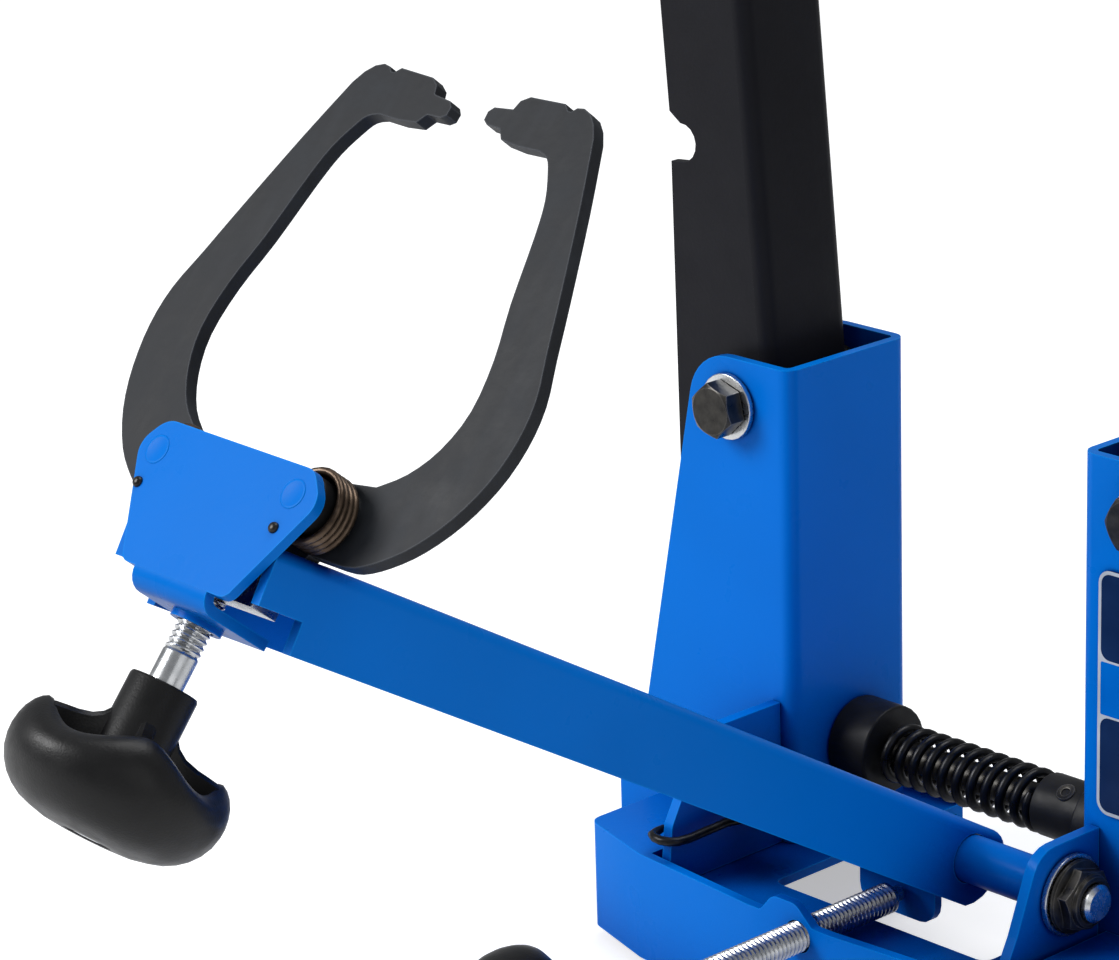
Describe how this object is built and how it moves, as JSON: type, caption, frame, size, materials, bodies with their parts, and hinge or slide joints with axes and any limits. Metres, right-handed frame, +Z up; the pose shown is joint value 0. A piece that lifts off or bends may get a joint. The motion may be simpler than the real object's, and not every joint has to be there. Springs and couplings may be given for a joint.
{
  "type": "wheel truing stand",
  "caption": "Bench wheel truing stand: box base, two spreading uprights, and a tilting caliper arm with screw-closed calipers and hand knobs.",
  "frame": {"origin": "on the bench, at the middle of the whole stand's bounding box; the point midway between the uprights is 14.2 mm to its left and 130.5 mm behind it", "axes": "+Z up; X along the wheel's axle; -Y is the front, where the caliper arm and its knobs are"},
  "size_m": [0.2543, 0.325, 0.4508],
  "materials": {
    "blue_enamel": "gloss",
    "black_enamel": "satin",
    "zinc_plate": "satin",
    "black_oxide": "satin",
    "spring_black": "satin",
    "spring_brown": "satin",
    "knob_plastic": "satin",
    "rubber_black": "matte",
    "label_navy": "gloss"
  },
  "bodies": {
    "stand": {"base_frame": "blue_enamel", "left_bracket": "blue_enamel", "right_bracket": "blue_enamel", "left_ear": "blue_enamel", "right_ear": "blue_enamel", "foot_front_left": "rubber_black", "foot_front_right": "rubber_black", "foot_rear_left": "rubber_black", "foot_rear_right": "rubber_black", "label_plate": "label_navy", "left_hinge_bolt": "black_oxide", "left_hinge_washer": "zinc_plate", "left_hinge_nut": "black_oxide", "left_hinge_spacer_front": "knob_plastic", "left_hinge_spacer_rear": "knob_plastic", "right_hinge_bolt": "black_oxide", "right_hinge_washer": "zinc_plate", "right_hinge_nut": "black_oxide", "right_hinge_spacer_front": "knob_plastic", "right_hinge_spacer_rear": "knob_plastic", "pivot_bolt": "zinc_plate", "pivot_nut": "black_oxide", "pivot_washer_left": "zinc_plate", "pivot_washer_right": "zinc_plate", "rod_bush_left": "black_enamel", "rod_bush_right": "black_enamel", "spread_spring": "spring_black", "arm_spring": "spring_black"},
    "left_upright": {"left_upright": "black_enamel", "left_cross_nut": "zinc_plate"},
    "right_upright": {"right_upright": "black_enamel", "right_cross_nut": "zinc_plate"},
    "spread_screw": {"threaded_rod": "black_oxide", "rod_collar": "black_enamel", "spread_knob": "knob_plastic"},
    "height_stud": {"height_stud": "zinc_plate"},
    "height_knob": {"height_knob": "knob_plastic"},
    "caliper_arm": {"caliper_arm": "blue_enamel", "pivot_tube": "blue_enamel", "caliper_housing": "blue_enamel", "housing_back_plate": "blue_enamel", "caliper_pin_left": "zinc_plate", "caliper_pin_right": "zinc_plate", "caliper_bush_left": "black_enamel", "caliper_bush_right": "black_enamel", "torsion_spring_left": "spring_brown", "torsion_spring_right": "spring_brown"},
    "left_caliper": {"left_caliper": "black_enamel"},
    "right_caliper": {"right_caliper": "black_enamel"},
    "caliper_wedge": {"caliper_wedge": "zinc_plate"},
    "caliper_screw": {"caliper_stud": "zinc_plate", "caliper_knob": "knob_plastic"}
  },
  "joints": [
    {"name": "spread_knob_spin", "type": "hinge", "parent": "stand", "child": "spread_screw", "pos_m": [-0.0142, 0.1325, 0.047], "axis": [1, 0, 0], "range_deg": [-123.2, 2792.1]},
    {"name": "left_upright_lean", "type": "hinge", "parent": "stand", "child": "left_upright", "pos_m": [-0.0826, 0.1305, 0.1393], "axis": [0, 1, 0], "range_deg": [-0.3, 6.8]},
    {"name": "right_upright_lean", "type": "hinge", "parent": "stand", "child": "right_upright", "pos_m": [0.0542, 0.1305, 0.1393], "axis": [0, 1, 0], "range_deg": [-6.8, 0.3]},
    {"name": "height_stud_slide", "type": "slide", "parent": "stand", "child": "height_stud", "axis": [0, 1, 0], "range_m": [-0.005, 0.005]},
    {"name": "height_knob_spin", "type": "hinge", "parent": "height_stud", "child": "height_knob", "pos_m": [-0.0142, -0.041, 0.0285], "axis": [0, 1, 0], "range_deg": [-1276.7, 1276.7]},
    {"name": "caliper_arm_tilt", "type": "hinge", "parent": "stand", "child": "caliper_arm", "pos_m": [-0.0142, 0.0968, 0.0448], "axis": [1, 0, 0], "range_deg": [-17.7, 17.7]},
    {"name": "left_caliper_swing", "type": "hinge", "parent": "caliper_arm", "child": "left_caliper", "pos_m": [-0.0367, -0.09695, 0.1799], "axis": [0, -0.7727, 0.6347], "range_deg": [-2.5, 9.9]},
    {"name": "right_caliper_swing", "type": "hinge", "parent": "caliper_arm", "child": "right_caliper", "pos_m": [0.0083, -0.09695, 0.1799], "axis": [0, -0.7727, 0.6347], "range_deg": [-9.9, 2.5]},
    {"name": "caliper_wedge_slide", "type": "slide", "parent": "caliper_arm", "child": "caliper_wedge", "axis": [0, 0.6347, 0.7727], "range_m": [-0.0032, 0.0008]},
    {"name": "caliper_knob_spin", "type": "hinge", "parent": "caliper_wedge", "child": "caliper_screw", "pos_m": [-0.0142, -0.11944, 0.15567], "axis": [0, 0.6347, 0.7727], "range_deg": [-817.4, 205.1]}
  ],
  "couplings": [
    {"joint": "left_upright_lean", "follows": "spread_knob_spin", "ratio": 0.002433},
    {"joint": "right_upright_lean", "follows": "spread_knob_spin", "ratio": -0.002433},
    {"joint": "height_knob_spin", "follows": "height_stud_slide", "rad_per_m": 4453},
    {"joint": "caliper_arm_tilt", "follows": "height_stud_slide", "rad_per_m": 61.35},
    {"joint": "caliper_knob_spin", "follows": "caliper_wedge_slide", "rad_per_m": 4453},
    {"joint": "right_caliper_swing", "follows": "caliper_wedge_slide", "rad_per_m": 53.476},
    {"joint": "left_caliper_swing", "follows": "caliper_wedge_slide", "rad_per_m": -53.476}
  ]
}
